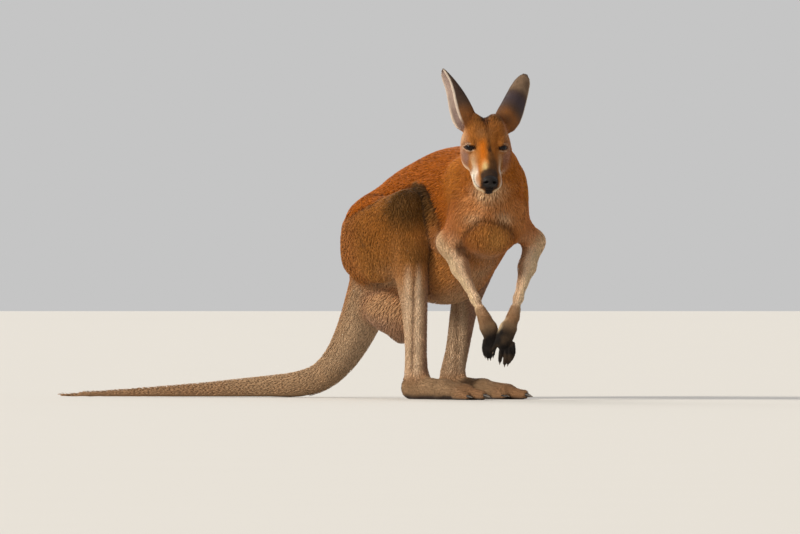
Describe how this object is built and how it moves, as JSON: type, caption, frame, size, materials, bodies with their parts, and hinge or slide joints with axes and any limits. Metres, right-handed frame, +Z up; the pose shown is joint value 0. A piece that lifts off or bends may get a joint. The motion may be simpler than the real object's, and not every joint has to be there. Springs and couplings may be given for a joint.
{
  "type": "red kangaroo",
  "caption": "Adult male red kangaroo as a still, life-size model, crouched on both hind feet and its tail, head turned to its right and hands hanging together.",
  "frame": {"origin": "on the floor, below the middle of the model's outline box", "axes": "+Z up, the pelvis faces -Y and the tail lies towards +Y, the animal's left is +X"},
  "size_m": [0.7647, 1.4758, 0.8382],
  "materials": {
    "rusty_coat": "short dense fur, rusty orange-brown",
    "pale_coat": "short fur, pale grey-brown",
    "cream_coat": "short fur, cream to tan",
    "dark_coat": "very short fur and bare skin, dark brown to black",
    "eye": "wet, glossy, very dark brown",
    "claw": "worn horn, black-brown"
  },
  "bodies": {
    "root": {"trunk": "rusty_coat", "neck": "rusty_coat", "head": "rusty_coat", "tail_root": "pale_coat", "tail_mid": "pale_coat", "tail_tip": "pale_coat", "thigh_r": "rusty_coat", "shank_r": "pale_coat", "foot_r": "dark_coat", "upper_arm_r": "rusty_coat", "forearm_r": "cream_coat", "hand_r": "dark_coat", "ear_r": "dark_coat", "eye_r": "eye", "claw_hand_r1": "claw", "claw_hand_r2": "claw", "claw_hand_r3": "claw", "claw_hand_r4": "claw", "claw_hand_r5": "claw", "claw_foot_r2": "claw", "claw_foot_r3": "claw", "claw_foot_r4": "claw", "claw_foot_r5": "claw", "thigh_l": "rusty_coat", "shank_l": "pale_coat", "foot_l": "dark_coat", "upper_arm_l": "rusty_coat", "forearm_l": "cream_coat", "hand_l": "dark_coat", "ear_l": "dark_coat", "eye_l": "eye", "claw_hand_l1": "claw", "claw_hand_l2": "claw", "claw_hand_l3": "claw", "claw_hand_l4": "claw", "claw_hand_l5": "claw", "claw_foot_l2": "claw", "claw_foot_l3": "claw", "claw_foot_l4": "claw", "claw_foot_l5": "claw"}
  },
  "joints": []
}
